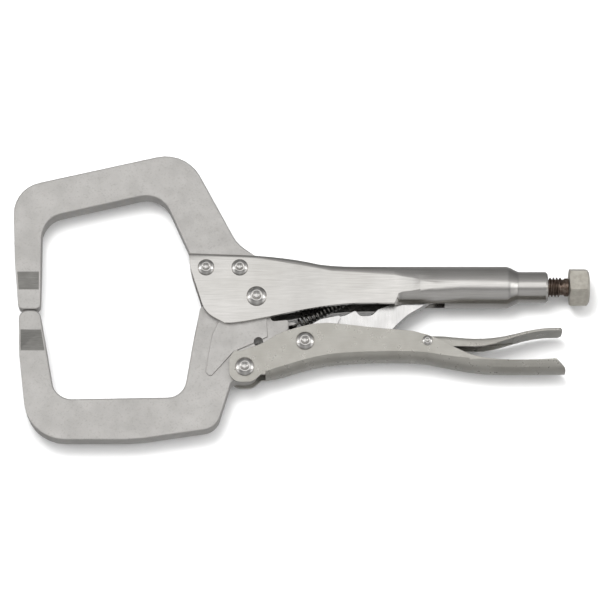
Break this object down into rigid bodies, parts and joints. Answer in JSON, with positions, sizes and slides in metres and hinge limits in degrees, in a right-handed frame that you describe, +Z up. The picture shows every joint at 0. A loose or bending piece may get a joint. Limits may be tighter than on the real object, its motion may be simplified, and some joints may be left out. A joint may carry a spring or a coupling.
{
  "type": "locking C-clamp pliers",
  "caption": "Locking C-clamp pliers: two deep C jaws, folded steel handles, over-centre toggle, return spring, release lever and adjusting screw.",
  "frame": {"origin": "middle of the tool's footprint, on the surface it lies on", "axes": "+X along the handles towards the adjusting screw, +Y towards the fixed jaw and upper handle, +Z up out of the side the tool lies on"},
  "size_m": [0.2796, 0.1422, 0.0214],
  "materials": {
    "blasted_nickel": "nickel plated over a blasted forging, matte with a fine grain",
    "polished_nickel": "nickel plated over polished sheet, bright with soft reflections",
    "satin_nickel": "nickel plated over pressed sheet, satin",
    "bright_nickel": "bright plated flat stamping, satin",
    "rivet_steel": "bright plated, polished by the setting tool",
    "spring_steel": "dark oiled wire",
    "oiled_thread": "dark brown oiled thread",
    "dull_zinc": "dull beige zinc plating"
  },
  "bodies": {
    "upper_body": {"upper_handle": "polished_nickel", "fixed_jaw": "blasted_nickel", "fixed_jaw_rivet_front": "rivet_steel", "fixed_jaw_rivet_rear": "rivet_steel", "main_pivot_rivet": "rivet_steel"},
    "jaw": {"moving_jaw": "blasted_nickel", "tension_spring": "spring_steel", "handle_pivot_rivet": "rivet_steel"},
    "handle": {"lower_handle": "satin_nickel", "link_pivot_rivet": "rivet_steel", "release_lever_rivet": "rivet_steel"},
    "link": {"toggle_link": "bright_nickel"},
    "release": {"release_lever": "satin_nickel"},
    "screw_rod": {"adjusting_screw_rod": "oiled_thread"},
    "screw_head": {"adjusting_screw_head": "dull_zinc"}
  },
  "joints": [
    {"name": "jaw_open", "type": "hinge", "parent": "upper_body", "child": "jaw", "pos_m": [-0.02133, -0.00082, 0.0107], "axis": [0, 0, 1], "range_deg": [0, 18], "deforming": ["tension_spring"]},
    {"name": "handle_swing", "type": "hinge", "parent": "jaw", "child": "handle", "pos_m": [-0.02693, -0.03562, 0.0107], "axis": [0, 0, 1], "range_deg": [-58, 0]},
    {"name": "link_swing", "type": "hinge", "parent": "handle", "child": "link", "pos_m": [0.00207, -0.02302, 0.0107], "axis": [0, 0, 1], "range_deg": [0, 63]},
    {"name": "release_press", "type": "hinge", "parent": "handle", "child": "release", "pos_m": [0.06087, -0.02282, 0.0107], "axis": [0, 0, -1], "range_deg": [0, 8]},
    {"name": "screw_travel", "type": "slide", "parent": "upper_body", "child": "screw_rod", "axis": [1, 0, 0], "range_m": [0, 0.0238]},
    {"name": "screw_turn", "type": "hinge", "parent": "screw_rod", "child": "screw_head", "pos_m": [0.13467, 0.00583, 0.0107], "axis": [1, 0, 0], "range_deg": [0, 5400]}
  ],
  "couplings": [
    {"joint": "handle_swing", "follows": "jaw_open", "ratio": -3.19},
    {"joint": "link_swing", "follows": "jaw_open", "ratio": 3.46},
    {"joint": "screw_turn", "follows": "screw_travel", "rad_per_m": 3957.9}
  ]
}
